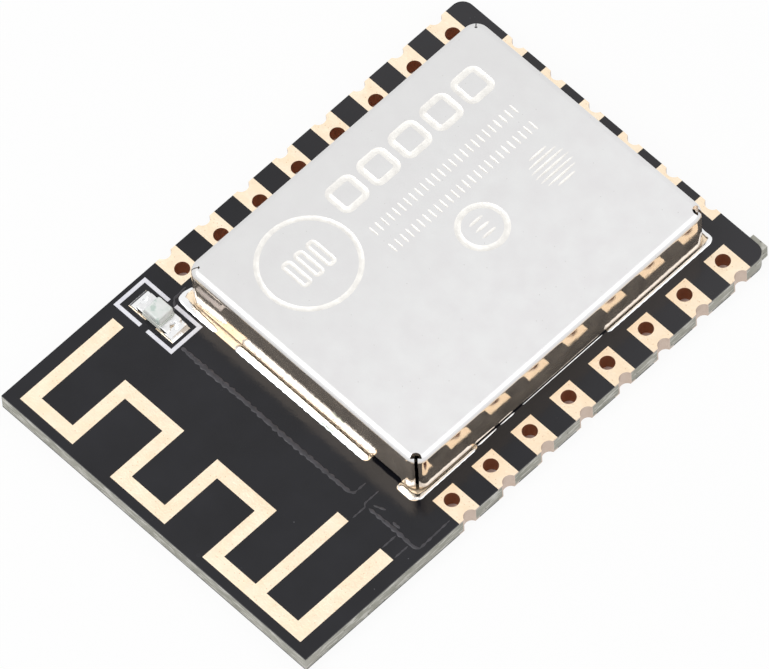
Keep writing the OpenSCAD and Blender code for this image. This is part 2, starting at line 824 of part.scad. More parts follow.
// Clear moulding between the terminals, drafted at both ends
module led_lens() color([0.95, 0.97, 0.95, 0.6]) {
  inner = led_l / 2 - led_terminal_l;
  foot = led_l / 2 - led_lens_gap - led_metal_t;
  z1 = led_base_z + led_base_t;
  z2 = z1 + led_metal_t;
  z3 = board_t + led_h;
  translate([led_x, led_y + led_w / 2, 0]) rotate([90, 0, 0]) linear_extrude(led_w)
    polygon([[-inner, z1], [inner, z1], [inner, z2], [foot, z2], [foot - led_lens_draft, z3],
             [led_lens_draft - foot, z3], [-foot, z2], [-inner, z2]]);
}

// Solder wedge from each land up its terminal and into the notch
module led_solder() color(tin) for (s = [-1, 1]) {
  r = led_solder_h - solder_t;
  translate([led_x, led_y, board_t]) scale([s, 1, 1]) union() {
    translate([led_l / 2, led_w / 2, 0]) rotate([90, 0, 0]) linear_extrude(led_w)
      difference() {
        box2(0, 0, led_toe, led_solder_h);
        translate([r + solder_t, led_solder_h]) circle(r = r);
        box2(r + solder_t, solder_t, led_toe + eps, led_solder_h + eps);
      }
    linear_extrude(led_solder_h) intersection() {
      translate([led_l / 2, 0]) circle(r = led_notch_r);
      square([led_l, led_w], center = true);
    }
  }
}

// ---------- parts under the can ----------

module mcu_body() color(black) difference() {
  at_mcu() translate([0, 0, board_t + mcu_gap + (mcu_h - mcu_gap) / 2])
    cube([mcu_side, mcu_side, mcu_h - mcu_gap], center = true);
  mcu_terminals();
}

// Bottom terminals and thermal pad of the leadless package
module mcu_terminals() color(tin) at_mcu() translate([0, 0, board_t]) {
  linear_extrude(mcu_term_t) mcu_row2(mcu_term_l, 0);
  linear_extrude(mcu_term_t) square(mcu_pad, center = true);
}

// Moulding with a waist where the leads leave it
module flash_profile2(w) {
  mid = (flash_gap + flash_h) / 2;
  polygon([[-w / 2 + flash_draft, flash_gap], [w / 2 - flash_draft, flash_gap],
           [w / 2, mid - flash_lead_t / 2], [w / 2, mid + flash_lead_t / 2],
           [w / 2 - flash_draft, flash_h], [flash_draft - w / 2, flash_h],
           [-w / 2, mid + flash_lead_t / 2], [-w / 2, mid - flash_lead_t / 2]]);
}

module flash_body() color(black) at_flash() translate([0, 0, board_t]) difference() {
  intersection() {
    translate([0, flash_l / 2, 0]) rotate([90, 0, 0]) linear_extrude(flash_l) flash_profile2(flash_w);
    translate([-flash_w / 2, 0, 0]) rotate([90, 0, 90]) linear_extrude(flash_w) flash_profile2(flash_l);
  }
  translate([2 * flash_mark_r - flash_w / 2 + flash_draft, flash_l / 2 - flash_draft - 2 * flash_mark_r,
             flash_h - flash_mark_d]) cylinder(r = flash_mark_r, h = flash_mark_d + eps);
}

// Gull-wing lead: out of the waist, down and out along its land
module flash_leads() color(tin) at_flash() for (s = [-1, 1], i = [0 : flash_count - 1]) {
  mid = (flash_gap + flash_h) / 2;
  reach = flash_span / 2 - flash_w / 2;
  knee = reach - flash_foot_l;
  translate([0, (i - (flash_count - 1) / 2) * flash_pitch + flash_lead_w / 2, board_t])
    scale([s, 1, 1]) translate([flash_w / 2, 0, 0]) rotate([90, 0, 0])
      linear_extrude(flash_lead_w)
        polygon([[0, mid - flash_lead_t / 2], [knee - flash_lead_t, mid - flash_lead_t / 2],
                 [knee - flash_lead_t, 0], [reach, 0], [reach, flash_lead_t],
                 [knee, flash_lead_t], [knee, mid + flash_lead_t / 2],
                 [0, mid + flash_lead_t / 2]]);
}

module crystal_base() color([0.5, 0.45, 0.4])
  at_crystal() translate([0, 0, board_t]) linear_extrude(crystal_base_h) difference() {
    square([crystal_l, crystal_w], center = true);
    for (s = [-1, 1], t = [-1, 1])
      translate([s * crystal_l / 2, t * crystal_w / 2]) circle(r = crystal_notch_r);
  }

module crystal_lid() color(tin)
  at_crystal() translate([0, 0, board_t + crystal_base_h]) linear_extrude(crystal_lid_h) {
    l = crystal_l - 2 * crystal_rim;
    w = crystal_w - 2 * crystal_rim;
    r = crystal_notch_r;
    union() {
      square([l - 2 * r, w], center = true);
      square([l, w - 2 * r], center = true);
      for (s = [-1, 1], t = [-1, 1])
        translate([s * (l / 2 - r), t * (w / 2 - r)]) circle(r = r);
    }
  }

// Ceramic block inside its two end caps
module chip_body(h) translate([0, 0, board_t + h / 2])
  cube([chip_l - 2 * cap_t, chip_w - 2 * cap_t, h - 2 * cap_t], center = true);

module chip_ends(h) difference() {
  for (s = [-1, 1]) translate([s * (chip_l - cap_l) / 2, 0, board_t + h / 2])
    cube([cap_l, chip_w, h], center = true);
  chip_body(h);
}

module capacitor_bodies() color([0.66, 0.5, 0.36]) at_chips(capacitors) chip_body(chip_h);
module capacitor_ends() color(tin) at_chips(capacitors) chip_ends(chip_h);
module resistor_bodies() color([0.12, 0.12, 0.12]) at_chips(resistors) chip_body(resistor_h);
module resistor_ends() color(tin) at_chips(resistors) chip_ends(resistor_h);
module inductor_bodies() color([0.3, 0.42, 0.55]) at_chips(inductors) chip_body(chip_h);
module inductor_ends() color(tin) at_chips(inductors) chip_ends(chip_h);

module component_lands() color(gold)
  translate([0, 0, top_z]) linear_extrude(skin_t) component_lands2();

// ---------- nodes ----------

substrate();
solder_mask_top();
solder_mask_bottom();
ground_pour_top();
ground_plane_bottom();
antenna();
feed_line();
pad_01();
pad_02();
pad_03();
pad_04();
pad_05();
pad_06();
pad_07();
pad_08();
pad_09();
pad_10();
pad_11();
pad_12();
pad_13();
pad_14();
pad_15();
pad_16();
pad_17();
pad_18();
pad_19();
pad_20();
pad_21();
pad_22();
shield_can();
shield_lands();
shield_solder();
legend();
led_base();
led_lens();
led_terminals();
led_lands();
led_solder();
mcu_body();
mcu_terminals();
flash_body();
flash_leads();
crystal_base();
crystal_lid();
capacitor_bodies();
capacitor_ends();
resistor_bodies();
resistor_ends();
inductor_bodies();
inductor_ends();
component_lands();
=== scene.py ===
# %% [markdown]
# # A castellated radio module
#
# The object is a black circuit board no longer than a thumbnail. It carries a
# printed antenna, a small light, twenty-two gold pads with half holes in the
# board's edge, and a pressed tin can that shields the circuit under it. The
# solid model already has every piece at its true size, so this script adds
# what a solid model leaves out: finishes, solder, pressed marks and light.
#
# The first cell loads that model. From here on it is a fixed frame: new pieces
# are placed by asking it for boxes, and none of its own pieces is moved.

# %% Load the frame
import json
import math

import bpy
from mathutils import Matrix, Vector


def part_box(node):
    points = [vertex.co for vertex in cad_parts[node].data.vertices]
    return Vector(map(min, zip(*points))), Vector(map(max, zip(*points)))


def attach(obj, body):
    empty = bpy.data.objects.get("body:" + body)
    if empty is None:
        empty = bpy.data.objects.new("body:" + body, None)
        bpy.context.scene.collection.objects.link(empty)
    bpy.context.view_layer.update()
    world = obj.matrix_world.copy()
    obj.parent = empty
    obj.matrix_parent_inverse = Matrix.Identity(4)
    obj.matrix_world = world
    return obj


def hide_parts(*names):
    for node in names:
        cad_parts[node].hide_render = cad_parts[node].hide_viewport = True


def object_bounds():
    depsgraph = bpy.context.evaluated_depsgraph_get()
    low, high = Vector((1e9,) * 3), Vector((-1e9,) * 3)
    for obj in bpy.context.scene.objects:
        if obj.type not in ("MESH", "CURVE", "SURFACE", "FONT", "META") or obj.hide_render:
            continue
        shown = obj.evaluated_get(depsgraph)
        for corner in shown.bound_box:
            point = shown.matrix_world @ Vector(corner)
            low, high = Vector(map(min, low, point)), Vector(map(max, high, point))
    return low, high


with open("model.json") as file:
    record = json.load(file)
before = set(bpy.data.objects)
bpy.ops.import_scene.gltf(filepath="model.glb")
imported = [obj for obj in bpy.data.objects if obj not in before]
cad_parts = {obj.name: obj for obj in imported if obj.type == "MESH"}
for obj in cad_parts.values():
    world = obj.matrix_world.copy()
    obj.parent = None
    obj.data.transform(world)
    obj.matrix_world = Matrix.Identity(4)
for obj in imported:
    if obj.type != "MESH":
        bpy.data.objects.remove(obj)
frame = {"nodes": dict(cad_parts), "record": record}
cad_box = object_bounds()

scene = bpy.context.scene
MM = 0.001
print("nodes:", len(frame["nodes"]), "box in mm:",
      [[round(c / MM, 2) for c in corner] for corner in cad_box])

# %% [markdown]
# ## Camera
#
# A long lens from half a metre away keeps the board's edges almost parallel.
# The camera is placed the way one would say it aloud: so far round, so high
# up, so far off, aimed at a point on the board and rolled a little. It
# could also be placed by three coordinates and three angles, but then nobody
# could tell what to change to walk around the object.

# %% Camera
LOOK_FROM = 228.717        # degrees round the object, 0 looks along +Y
LOOK_DOWN = 59.631         # degrees above the board
ROLL = 4.025               # degrees
DISTANCE = 516.19 * MM
AIM = Vector((-0.313, 0.436, 0.8)) * MM
LENS = 662.0               # millimetres, on a sensor 36 mm wide


def direction(azimuth, elevation):
    a = math.radians(azimuth)
    e = math.radians(elevation)
    return Vector((math.sin(a) * math.cos(e), -math.cos(a) * math.cos(e), math.sin(e)))


back = direction(LOOK_FROM, LOOK_DOWN)
bpy.ops.object.camera_add(location=AIM + DISTANCE * back)
camera = bpy.context.object
camera.rotation_euler = back.to_track_quat("Z", "Y").to_euler()
camera.rotation_euler.rotate_axis("Z", math.radians(-ROLL))
camera.data.lens = LENS
camera.data.sensor_width = 36
camera.data.clip_start = 0.01
camera.data.clip_end = 10
scene.camera = camera
print("camera at mm:", [round(c / MM, 1) for c in camera.location])

# %% [markdown]
# ## World, lamps and floor
#
# The module lies on a pale sheet in a bright tent. The world is that tent: it
# is plain white where the lens or a polished face looks at it, and gentler as
# a light, so that a colour comes out about as it is written. Two wide lamps
# give the light a direction. Small hard lamps would draw burnt spots on the
# tin and leave the rest grey, so there are none.

# %% World
world = bpy.data.worlds.new("tent")
scene.world = world
world.use_nodes = True


def seen_directly(nodes, link):
    """A value that is 1 for the lens, for a mirror and through glass, else 0."""
    path = nodes.new("ShaderNodeLightPath")
    value = path.outputs["Is Camera Ray"]
    for other in ("Is Glossy Ray", "Is Transmission Ray"):
        either = nodes.new("ShaderNodeMath")
        either.operation = "MAXIMUM"
        link(value, either.inputs[0])
        link(path.outputs[other], either.inputs[1])
        value = either.outputs[0]
    return value


nodes = world.node_tree.nodes
link = world.node_tree.links.new
nodes.clear()
world_out = nodes.new("ShaderNodeOutputWorld")
white = nodes.new("ShaderNodeBackground")
white.inputs["Color"].default_value = (1, 1, 1, 1)
soft = nodes.new("ShaderNodeBackground")
soft.inputs["Color"].default_value = (1, 1, 1, 1)
soft.inputs["Strength"].default_value = 0.62
either = nodes.new("ShaderNodeMixShader")
link(seen_directly(nodes, link), either.inputs["Fac"])
link(soft.outputs[0], either.inputs[1])
link(white.outputs[0], either.inputs[2])
link(either.outputs[0], world_out.inputs["Surface"])
scene.view_settings.view_transform = "Standard"
print("world nodes:", len(nodes))

# %% Lamps
def lamp(name, azimuth, elevation, distance, size, watts):
    side = direction(azimuth, elevation)
    bpy.ops.object.light_add(type="AREA", location=side * distance)
    light = bpy.context.object
    light.name = name
    light.rotation_euler = side.to_track_quat("Z", "Y").to_euler()
    light.data.shape = "DISK"
    light.data.size = size
    light.data.energy = watts
    return light


key = lamp("key_lamp", 150, 60, 0.30, 0.22, 0.30)
fill = lamp("fill_lamp", 300, 45, 0.35, 0.30, 0.16)
print("lamps:", key.name, fill.name)

# %% [markdown]
# The floor is a white sheet. Where the lens or a polished face sees it, part of
# it glows plain white, so that it reads as a bright background, and the rest
# of it is ordinary paper that keeps the module's soft shadow. Under the board
# nothing glows, or the pad holes would show bright crescents at their feet.

# %% Floor
bpy.ops.mesh.primitive_plane_add(size=1.2, location=(0, 0, cad_box[0][2] - 0.005 * MM))
floor = bpy.context.object
floor.name = "floor"
paper = bpy.data.materials.new("pale_paper")
paper.use_nodes = True
nodes = paper.node_tree.nodes
link = paper.node_tree.links.new
sheet = nodes["Principled BSDF"]
sheet.inputs["Base Color"].default_value = (0.93, 0.93, 0.93, 1)
sheet.inputs["Roughness"].default_value = 0.9
glow = nodes.new("ShaderNodeEmission")
place = nodes.new("ShaderNodeTexCoord")
parts = nodes.new("ShaderNodeSeparateXYZ")
link(place.outputs["Object"], parts.inputs[0])


def combine(operation, first, second):
    """A Math node between values, each a number or a socket."""
    node = nodes.new("ShaderNodeMath")
    node.operation = operation
    for socket, value in zip(node.inputs, (first, second)):
        if isinstance(value, (int, float)):
            socket.default_value = value
        else:
            link(value, socket)
    return node.outputs[0]


GLOW_SHARE = 0.9
UNDER_EDGE = 0.3 * MM      # how far in from the board's edges the glow begins
past = [combine("GREATER_THAN", combine("ABSOLUTE", parts.outputs[axis], 0), reach - UNDER_EDGE)
        for axis, reach in zip("XY", cad_box[1])]
in_open = combine("MULTIPLY", combine("MAXIMUM", past[0], past[1]), GLOW_SHARE)
share = combine("MULTIPLY", seen_directly(nodes, link), in_open)
blend = nodes.new("ShaderNodeMixShader")
link(share, blend.inputs["Fac"])
link(sheet.outputs[0], blend.inputs[1])
link(glow.outputs[0], blend.inputs[2])
link(blend.outputs[0], nodes["Material Output"].inputs["Surface"])
floor.data.materials.append(paper)
print("floor at mm:", round(floor.location.z / MM, 3))

# %% [markdown]
# ## Shared effects
#
# No real surface has one even tone. Three small effects turn up on nearly every
# finish here, so each is built once as a node group and then placed in each
# material with its own numbers. They read Object coordinates: every piece sits
# at the origin, so a pattern has its true size and never slides.
#
# *mottle* is soft cloudy variation between two values, *specks* is a sparse
# scatter of dots, and *grain* is a fine height for a Bump node.

# %% Group helper
def group(name, inputs, outputs):
    """A node group with plain number inputs and outputs."""
    tree = bpy.data.node_groups.new(name, "ShaderNodeTree")
    for label, value in inputs.items():
        socket = tree.interface.new_socket(label, in_out="INPUT", socket_type="NodeSocketFloat")
        socket.default_value = value
    for label in outputs:
        tree.interface.new_socket(label, in_out="OUTPUT", socket_type="NodeSocketFloat")
    start = tree.nodes.new("NodeGroupInput")
    end = tree.nodes.new("NodeGroupOutput")
    return tree, tree.nodes, tree.links.new, start, end


def per_metre(nodes, link, per_mm):
    """Turns a count per millimetre into the scale that a texture needs."""
    times = nodes.new("ShaderNodeMath")
    times.operation = "MULTIPLY"
    times.inputs[1].default_value = 1 / MM
    link(per_mm, times.inputs[0])
    return times.outputs[0]


# %% Mottle
mottle, nodes, link, start, end = group(
    "mottle", {"Per mm": 1.0, "Detail": 3.0, "Low": 0.0, "High": 1.0}, ["Value"])
place = nodes.new("ShaderNodeTexCoord")
cloud = nodes.new("ShaderNodeTexNoise")
spread = nodes.new("ShaderNodeMapRange")
spread.inputs["From Min"].default_value = 0.3
spread.inputs["From Max"].default_value = 0.7
link(place.outputs["Object"], cloud.inputs["Vector"])
link(per_metre(nodes, link, start.outputs["Per mm"]), cloud.inputs["Scale"])
link(start.outputs["Detail"], cloud.inputs["Detail"])
link(cloud.outputs["Fac"], spread.inputs["Value"])
link(start.outputs["Low"], spread.inputs["To Min"])
link(start.outputs["High"], spread.inputs["To Max"])
link(spread.outputs["Result"], end.inputs["Value"])
print("group", mottle.name, "with", len(nodes), "nodes")

# %% Specks
specks, nodes, link, start, end = group(
    "specks", {"Per mm": 4.0, "Size": 0.2, "Share": 0.3}, ["Mask"])
place = nodes.new("ShaderNodeTexCoord")
cells = nodes.new("ShaderNodeTexVoronoi")
cells.feature = "F1"
dot = nodes.new("ShaderNodeMath")
dot.operation = "LESS_THAN"
chosen = nodes.new("ShaderNodeMath")
chosen.operation = "LESS_THAN"
both = nodes.new("ShaderNodeMath")
both.operation = "MULTIPLY"
link(place.outputs["Object"], cells.inputs["Vector"])
link(per_metre(nodes, link, start.outputs["Per mm"]), cells.inputs["Scale"])
link(cells.outputs["Distance"], dot.inputs[0])
link(start.outputs["Size"], dot.inputs[1])
link(cells.outputs["Color"], chosen.inputs[0])
link(start.outputs["Share"], chosen.inputs[1])
link(dot.outputs[0], both.inputs[0])
link(chosen.outputs[0], both.inputs[1])
link(both.outputs[0], end.inputs["Mask"])
print("group", specks.name, "with", len(nodes), "nodes")

# %% Grain
grain, nodes, link, start, end = group(
    "grain", {"Per mm": 8.0, "Fine": 0.5}, ["Height"])
place = nodes.new("ShaderNodeTexCoord")
coarse = nodes.new("ShaderNodeTexNoise")
coarse.inputs["Detail"].default_value = 2
fine = nodes.new("ShaderNodeTexNoise")
fine.inputs["Detail"].default_value = 4
closer = nodes.new("ShaderNodeMath")
closer.operation = "MULTIPLY"
closer.inputs[1].default_value = 5
weigh = nodes.new("ShaderNodeMath")
weigh.operation = "MULTIPLY_ADD"
scale = per_metre(nodes, link, start.outputs["Per mm"])
link(place.outputs["Object"], coarse.inputs["Vector"])
link(place.outputs["Object"], fine.inputs["Vector"])
link(scale, coarse.inputs["Scale"])
link(scale, closer.inputs[0])
link(closer.outputs[0], fine.inputs["Scale"])
link(fine.outputs["Fac"], weigh.inputs[0])
link(start.outputs["Fine"], weigh.inputs[1])
link(coarse.outputs["Fac"], weigh.inputs[2])
link(weigh.outputs[0], end.inputs["Height"])
print("group", grain.name, "with", len(nodes), "nodes")

# %% [markdown]
# ## A maker's shelf of finishes
#
# Every finish starts the same way: two close tones that the mottle wanders
# between, a roughness that wanders too, and a grain that tilts the surface a
# little. What makes it gold or ink is in the numbers, so one helper builds the
# common part and hands back the nodes, and the cells after it add whatever
# only one finish has.

# %% Finish helper
finishes = {}


class Finish:
    def __init__(self, name, dark, light, per_mm, rough, metallic=0.0, tilt=0.0, grain_per_mm=8.0):
        self.made = bpy.data.materials.new(name)
        self.made.use_nodes = True
        self.nodes = self.made.node_tree.nodes
        self.link = self.made.node_tree.links.new
        self.shader = self.nodes["Principled BSDF"]
        self.shader.inputs["Metallic"].default_value = metallic
        self.colour = self.mix(self.mottle(per_mm, 0, 1), dark, light)
        self.link(self.colour, self.shader.inputs["Base Color"])
        self.link(self.mottle(per_mm * 2.3, *rough), self.shader.inputs["Roughness"])
        self.bump = self.nodes.new("ShaderNodeBump")
        self.bump.inputs["Distance"].default_value = tilt * MM
        texture = self.effect(grain, {"Per mm": grain_per_mm, "Fine": 0.4})
        self.link(texture.outputs["Height"], self.bump.inputs["Height"])
        self.link(self.bump.outputs["Normal"], self.shader.inputs["Normal"])
        finishes[name] = self.made

    def effect(self, tree, values):
        node = self.nodes.new("ShaderNodeGroup")
        node.node_tree = tree
        for label, value in values.items():
            node.inputs[label].default_value = value
        return node

    def mottle(self, per_mm, low, high, detail=3.0):
        values = {"Per mm": per_mm, "Detail": detail, "Low": low, "High": high}
        return self.effect(mottle, values).outputs["Value"]

    def specks(self, per_mm, size, share):
        return self.effect(specks, {"Per mm": per_mm, "Size": size, "Share": share}).outputs["Mask"]

    def mix(self, factor, first, second):
        """Mixes two colours, each a triple or a socket, by a factor's socket."""
        node = self.nodes.new("ShaderNodeMix")
        node.data_type = "RGBA"
        self.link(factor, node.inputs["Factor"])
        for socket, colour in ((node.inputs["A"], first), (node.inputs["B"], second)):
            if isinstance(colour, tuple):
                socket.default_value = (*colour, 1)
            else:
                self.link(colour, socket)
        return node.outputs["Result"]

    def maths(self, operation, first, second=None, clamp=False):
        node = self.nodes.new("ShaderNodeMath")
        node.operation = operation
        node.use_clamp = clamp
        for socket, value in ((node.inputs[0], first), (node.inputs[1], second)):
            if isinstance(value, (int, float)):
                socket.default_value = value
            elif value is not None:
                self.link(value, socket)
        return node.outputs[0]

    def ramp(self, value, low, high, out_low=0.0, out_high=1.0):
        """A smooth step from one value to another."""
        node = self.nodes.new("ShaderNodeMapRange")
        node.interpolation_type = "SMOOTHSTEP"
        node.inputs["From Min"].default_value = low
        node.inputs["From Max"].default_value = high
        node.inputs["To Min"].default_value = out_low
        node.inputs["To Max"].default_value = out_high
        self.link(value, node.inputs["Value"])
        return node.outputs["Result"]

    def place(self, axis):
        """Where a point lies along an axis, in millimetres."""
        where = self.nodes.new("ShaderNodeTexCoord")
        parts = self.nodes.new("ShaderNodeSeparateXYZ")
        self.link(where.outputs["Object"], parts.inputs[0])
        return self.maths("MULTIPLY", parts.outputs[axis], 1 / MM)

    def facing(self, axis):
        """How far a face points along an axis, up or down, from 0 to 1."""
        surface = self.nodes.new("ShaderNodeNewGeometry")
        parts = self.nodes.new("ShaderNodeSeparateXYZ")
        self.link(surface.outputs["Normal"], parts.inputs[0])
        return self.maths("ABSOLUTE", parts.outputs[axis])

    def paint(self, factor, colour):
        """Lays a colour over what the finish has so far."""
        self.colour = self.mix(factor, self.colour, colour)
        self.link(self.colour, self.shader.inputs["Base Color"])

    def rough(self, factor, roughness):
        """Moves the roughness towards a value where the factor is 1."""
        so_far = self.shader.inputs["Roughness"].links[0].from_socket
        node = self.nodes.new("ShaderNodeMix")
        self.link(factor, node.inputs["Factor"])
        self.link(so_far, node.inputs["A"])
        node.inputs["B"].default_value = roughness
        self.link(node.outputs["Result"], self.shader.inputs["Roughness"])


# %% [markdown]
# ### The board
#
# The board is glass cloth in resin. Only its sawn edge shows, where the layers
# of cloth are pale lines in a grey-green body, so the extra node stretches a
# noise along the edge and squeezes it in height. The mask over it is black
# lacquer. It is glossy, a little uneven from the rollers, and dusty.

# %% Board finishes
epoxy = Finish("glass_epoxy", (0.30, 0.30, 0.25), (0.44, 0.43, 0.38), 1.2, (0.55, 0.8),
               tilt=0.02, grain_per_mm=7)
layers = epoxy.nodes.new("ShaderNodeTexNoise")
squeeze = epoxy.nodes.new("ShaderNodeMapping")
squeeze.inputs["Scale"].default_value = (1.5 / MM, 1.5 / MM, 9 / MM)
where = epoxy.nodes.new("ShaderNodeTexCoord")
epoxy.link(where.outputs["Object"], squeeze.inputs["Vector"])
epoxy.link(squeeze.outputs["Vector"], layers.inputs["Vector"])
layers.inputs["Scale"].default_value = 1
layers.inputs["Detail"].default_value = 2
epoxy.paint(epoxy.ramp(layers.outputs["Fac"], 0.5, 0.62), (0.60, 0.59, 0.54))
epoxy.paint(epoxy.specks(5, 0.18, 0.25), (0.16, 0.15, 0.13))

mask = Finish("solder_mask", (0.0065, 0.0065, 0.009), (0.012, 0.012, 0.016), 0.5, (0.10, 0.18),
              tilt=0.006, grain_per_mm=2.5)
mask.shader.inputs["Specular IOR Level"].default_value = 0.32
# Painted sheen: the lacquer is painted greyer towards -Y, the board's far end, for the tent's light
# in its gloss.
mask.paint(mask.ramp(mask.place("Y"), 3.0, -11.0, 0.0, 0.85), (0.030, 0.029, 0.033))
mask.paint(mask.specks(2.2, 0.05, 0.25), (0.10, 0.10, 0.11))
mask.rough(mask.specks(1.3, 0.12, 0.3), 0.42)
print("finishes so far:", len(finishes))

# %% [markdown]
# ### The metals
#
# The pads and the antenna are copper under nickel and a breath of gold, which
# is matt and pale and shows tiny pits. Their upright faces are painted a duller
# tone and the walls down the holes a deep brown, both as painted shade. The tin
# of the can is one sheet with two looks: the rollers left its roof satin, and
# the press drew its walls over a polished block, which left them like mirrors
# under a thin haze. The walls' warmer, browner tone is painted reflection, and
# the roof is painted darker towards +X as painted shade. Where a punch marked
# the roof the tin is matt and pale, a finish of its own.

# %% Plated metals
gold = Finish("gold_plating", (0.93, 0.76, 0.56), (0.97, 0.83, 0.65), 1.6, (0.30, 0.46),
              metallic=1.0, tilt=0.012, grain_per_mm=12)
gold.paint(gold.specks(9, 0.22, 0.3), (0.80, 0.60, 0.42))
# Painted shade: upright faces of the plating are painted a duller tone, and the walls down the
# holes inside the board's edges a deep brown.
upright_shade = gold.ramp(gold.facing("Z"), 0.75, 0.35)
inside_x = 7.4             # half holes in the board's edges lie further out
inside_y = -11.25
past_edge = gold.ramp(gold.maths("ABSOLUTE", gold.place("X")), inside_x + 0.02, inside_x - 0.02)
beyond_end = gold.ramp(gold.place("Y"), inside_y - 0.05, inside_y + 0.05)
hole_shade = gold.maths("MULTIPLY", gold.maths("MULTIPLY", upright_shade, past_edge), beyond_end)
gold.paint(upright_shade, (0.62, 0.50, 0.42))
gold.paint(hole_shade, (0.50, 0.235, 0.13))
gold.rough(hole_shade, 0.6)

copper = Finish("copper", (0.66, 0.36, 0.22), (0.76, 0.46, 0.28), 1.2, (0.25, 0.4),
                metallic=1.0, tilt=0.01)

tin = Finish("tin_plate", (0.765, 0.755, 0.76), (0.80, 0.80, 0.80), 1.1, (0.30, 0.36),
             metallic=1.0, tilt=0.0035, grain_per_mm=3)
# Painted shade: the tin is painted darker towards +X, where the lamps' light falls off across the
# roof.
across = tin.ramp(tin.place("X"), -5.5, 5.5, 0.0, 0.55)
tin.paint(across, (0.69, 0.685, 0.68))
tin.paint(tin.specks(6, 0.12, 0.2), (0.62, 0.61, 0.60))
wall = tin.ramp(tin.facing("Z"), 0.55, 0.12)
# Painted reflection: the walls are painted a warmer, browner tone than the roof, for the board and
# pads they mirror. Their low roughness below is the real polish.
tin.paint(wall, (0.74, 0.63, 0.52))
tin.rough(wall, 0.07)
haze = tin.maths("MULTIPLY", wall, tin.mottle(1.3, 0.08, 0.2, detail=5))
dust = tin.maths("MULTIPLY", wall, tin.specks(2.6, 0.11, 0.22))
tin.paint(dust, (0.88, 0.86, 0.82))
cloudy = tin.maths("MAXIMUM", haze, tin.maths("MULTIPLY", dust, 0.6))
tin.link(tin.maths("SUBTRACT", 1.0, cloudy), tin.shader.inputs["Metallic"])

pressed = Finish("pressed_tin", (0.80, 0.78, 0.75), (0.93, 0.91, 0.87), 3.0, (0.40, 0.55),
                 metallic=0.7, tilt=0.008, grain_per_mm=9)

molten = Finish("solder", (0.84, 0.85, 0.86), (0.93, 0.93, 0.93), 1.4, (0.10, 0.22),
                metallic=1.0, tilt=0.01, grain_per_mm=5)
molten.paint(molten.specks(7, 0.14, 0.25), (0.52, 0.50, 0.47))
dull_x = molten.maths("MULTIPLY", molten.ramp(molten.place("X"), -1.95, -1.85),
                      molten.ramp(molten.place("X"), -1.25, -1.35))
dull = molten.maths("MULTIPLY", dull_x, molten.ramp(molten.place("Y"), 4.52, 4.6))
molten.paint(dull, (0.50, 0.56, 0.53))
print("finishes so far:", len(finishes))

# %% [markdown]
# ### The light and the ink
#
# The legend is white epoxy ink pressed through a screen, so it is matt, faintly
# blue and thin at its edges. The light is a chip under clear resin on a white
# base. Its resin is milky: it passes a little of the light and scatters the
# rest, slightly green in places.

# %% Light and ink
ink = Finish("legend_ink", (0.78, 0.78, 0.86), (0.92, 0.92, 0.97), 3.0, (0.5, 0.7),
             tilt=0.02, grain_per_mm=10)
Finish("led_base", (0.74, 0.78, 0.72), (0.86, 0.88, 0.84), 2.0, (0.4, 0.55), tilt=0.01)
resin = Finish("led_resin", (0.84, 0.90, 0.86), (0.97, 0.98, 0.97), 3.5, (0.14, 0.26), tilt=0.01)
resin.paint(resin.ramp(resin.mottle(2.2, 0, 1, detail=5), 0.62, 0.9), (0.62, 0.74, 0.68))
resin.shader.inputs["Transmission Weight"].default_value = 0.12
resin.shader.inputs["IOR"].default_value = 1.5
# Painted highlight: the lacquer of the ridges is made greyer than the mask, for the light they
# catch.
Finish("lacquer_ridge_highlight", (0.026, 0.025, 0.030), (0.060, 0.056, 0.066), 2.5, (0.25, 0.45),
       tilt=0.008, grain_per_mm=7)
Finish("terminal_metal", (0.74, 0.74, 0.75), (0.88, 0.88, 0.88), 3.0, (0.14, 0.28),
       metallic=1.0, tilt=0.01, grain_per_mm=9)
print("finishes so far:", len(finishes))

# %% [markdown]
# ### The parts under the can
#
# They show only when the can is taken away, but they are finished too: black
# mould compound with its fine sparkle, the crystal's grey ceramic and brushed
# lid, and the tan, black and blue of capacitors, resistors and inductors.

# %% Inner finishes
moulding = Finish("moulding", (0.014, 0.014, 0.015), (0.026, 0.026, 0.027), 2.0, (0.5, 0.7),
                  tilt=0.02, grain_per_mm=14)
moulding.paint(moulding.specks(12, 0.2, 0.2), (0.06, 0.06, 0.06))
Finish("crystal_ceramic", (0.24, 0.21, 0.18), (0.34, 0.30, 0.26), 2.0, (0.5, 0.7), tilt=0.01)
lid = Finish("lid_metal", (0.66, 0.64, 0.60), (0.78, 0.76, 0.72), 1.5, (0.18, 0.34),
             metallic=1.0, tilt=0.006, grain_per_mm=6)
clay = Finish("capacitor_ceramic", (0.44, 0.31, 0.20), (0.56, 0.42, 0.29), 2.5, (0.4, 0.6),
              tilt=0.012)
clay.paint(clay.specks(10, 0.2, 0.25), (0.34, 0.24, 0.16))
Finish("resistor_film", (0.02, 0.02, 0.022), (0.04, 0.04, 0.045), 3.0, (0.25, 0.4), tilt=0.008)
Finish("inductor_ceramic", (0.20, 0.31, 0.42), (0.30, 0.42, 0.54), 2.5, (0.35, 0.5), tilt=0.01)

for part in frame["record"]["subparts"]:
    node = frame["nodes"][part["node"]]
    node.data.materials.clear()
    node.data.materials.append(finishes[part["material_slot"]])

# %% [markdown]
# ## Working by hand
#
# An edit-mode operator acts on whatever is selected, and loading the model
# leaves all its nodes selected. So every step begins by selecting one object,
# and faces or edges are picked by where they are. The pieces are modelled in
# millimetres, one unit each, because Blender's merge distances and bevels
# behave best at that size, and each is brought to metres when it is done.

# %% Picking helpers
def only(*pieces):
    """Selects these objects alone and makes the first one active."""
    bpy.ops.object.select_all(action="DESELECT")
    for piece in pieces:
        piece.select_set(True)
    bpy.context.view_layer.objects.active = pieces[0]


